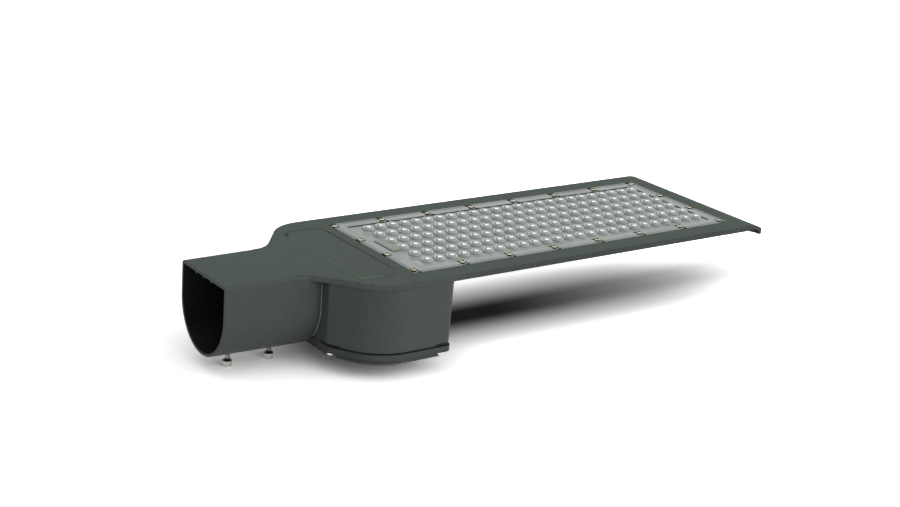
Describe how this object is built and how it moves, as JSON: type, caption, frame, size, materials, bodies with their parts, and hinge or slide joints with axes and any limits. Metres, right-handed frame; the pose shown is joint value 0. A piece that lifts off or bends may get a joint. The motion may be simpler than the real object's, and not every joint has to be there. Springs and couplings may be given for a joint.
{
  "type": "led street light head",
  "caption": "Flat street light head with a flared neck, a round-bottomed arm socket, a driver box underneath and a lens plate with rows of small domes.",
  "frame": {"origin": "on the arm axis, under the top edge of the socket's mouth", "axes": "+X from the socket mouth along the arm axis to the free end, +Y across the head, +Z out of the light side, which lies 35 mm above the arm axis"},
  "size_m": [0.621, 0.2098, 0.0986],
  "materials": {
    "housing_paint": "dark grey powder coat on a die casting, fine grain",
    "lens": "moulded clear lens plate, reads light grey",
    "silicone": "soft silicone seal",
    "board": "metal-core board, white solder mask",
    "chip": "phosphor-coated lamp chips",
    "white_plastic": "moulded connector",
    "steel": "plated screws",
    "bolt_steel": "bright zinc-plated bolts",
    "driver_case": "plain case",
    "terminal": "moulded block",
    "surge": "moulded case",
    "brass": "plain",
    "gland": "moulded cable gland",
    "black_rubber": "soft seal",
    "lead_sheath": "round sheathed lead"
  },
  "bodies": {
    "root": {"housing": "housing_paint", "lens_plate": "lens", "lens_gasket": "silicone", "led_board": "board", "led_chips": "chip", "board_connector": "white_plastic", "board_screws": "steel", "lens_screws": "steel", "driver_cover": "housing_paint", "cover_seal": "black_rubber", "cover_screws": "steel", "led_driver": "driver_case", "driver_screws": "steel", "terminal_block": "terminal", "surge_protector": "surge", "earth_screw": "brass", "earth_washer": "brass", "gland_body": "gland", "gland_nut": "gland", "gland_cap": "gland", "gland_seal": "black_rubber", "clamp_bolts": "bolt_steel", "output_lead": "lead_sheath", "input_lead": "lead_sheath", "lead_grommet": "black_rubber"}
  },
  "joints": []
}
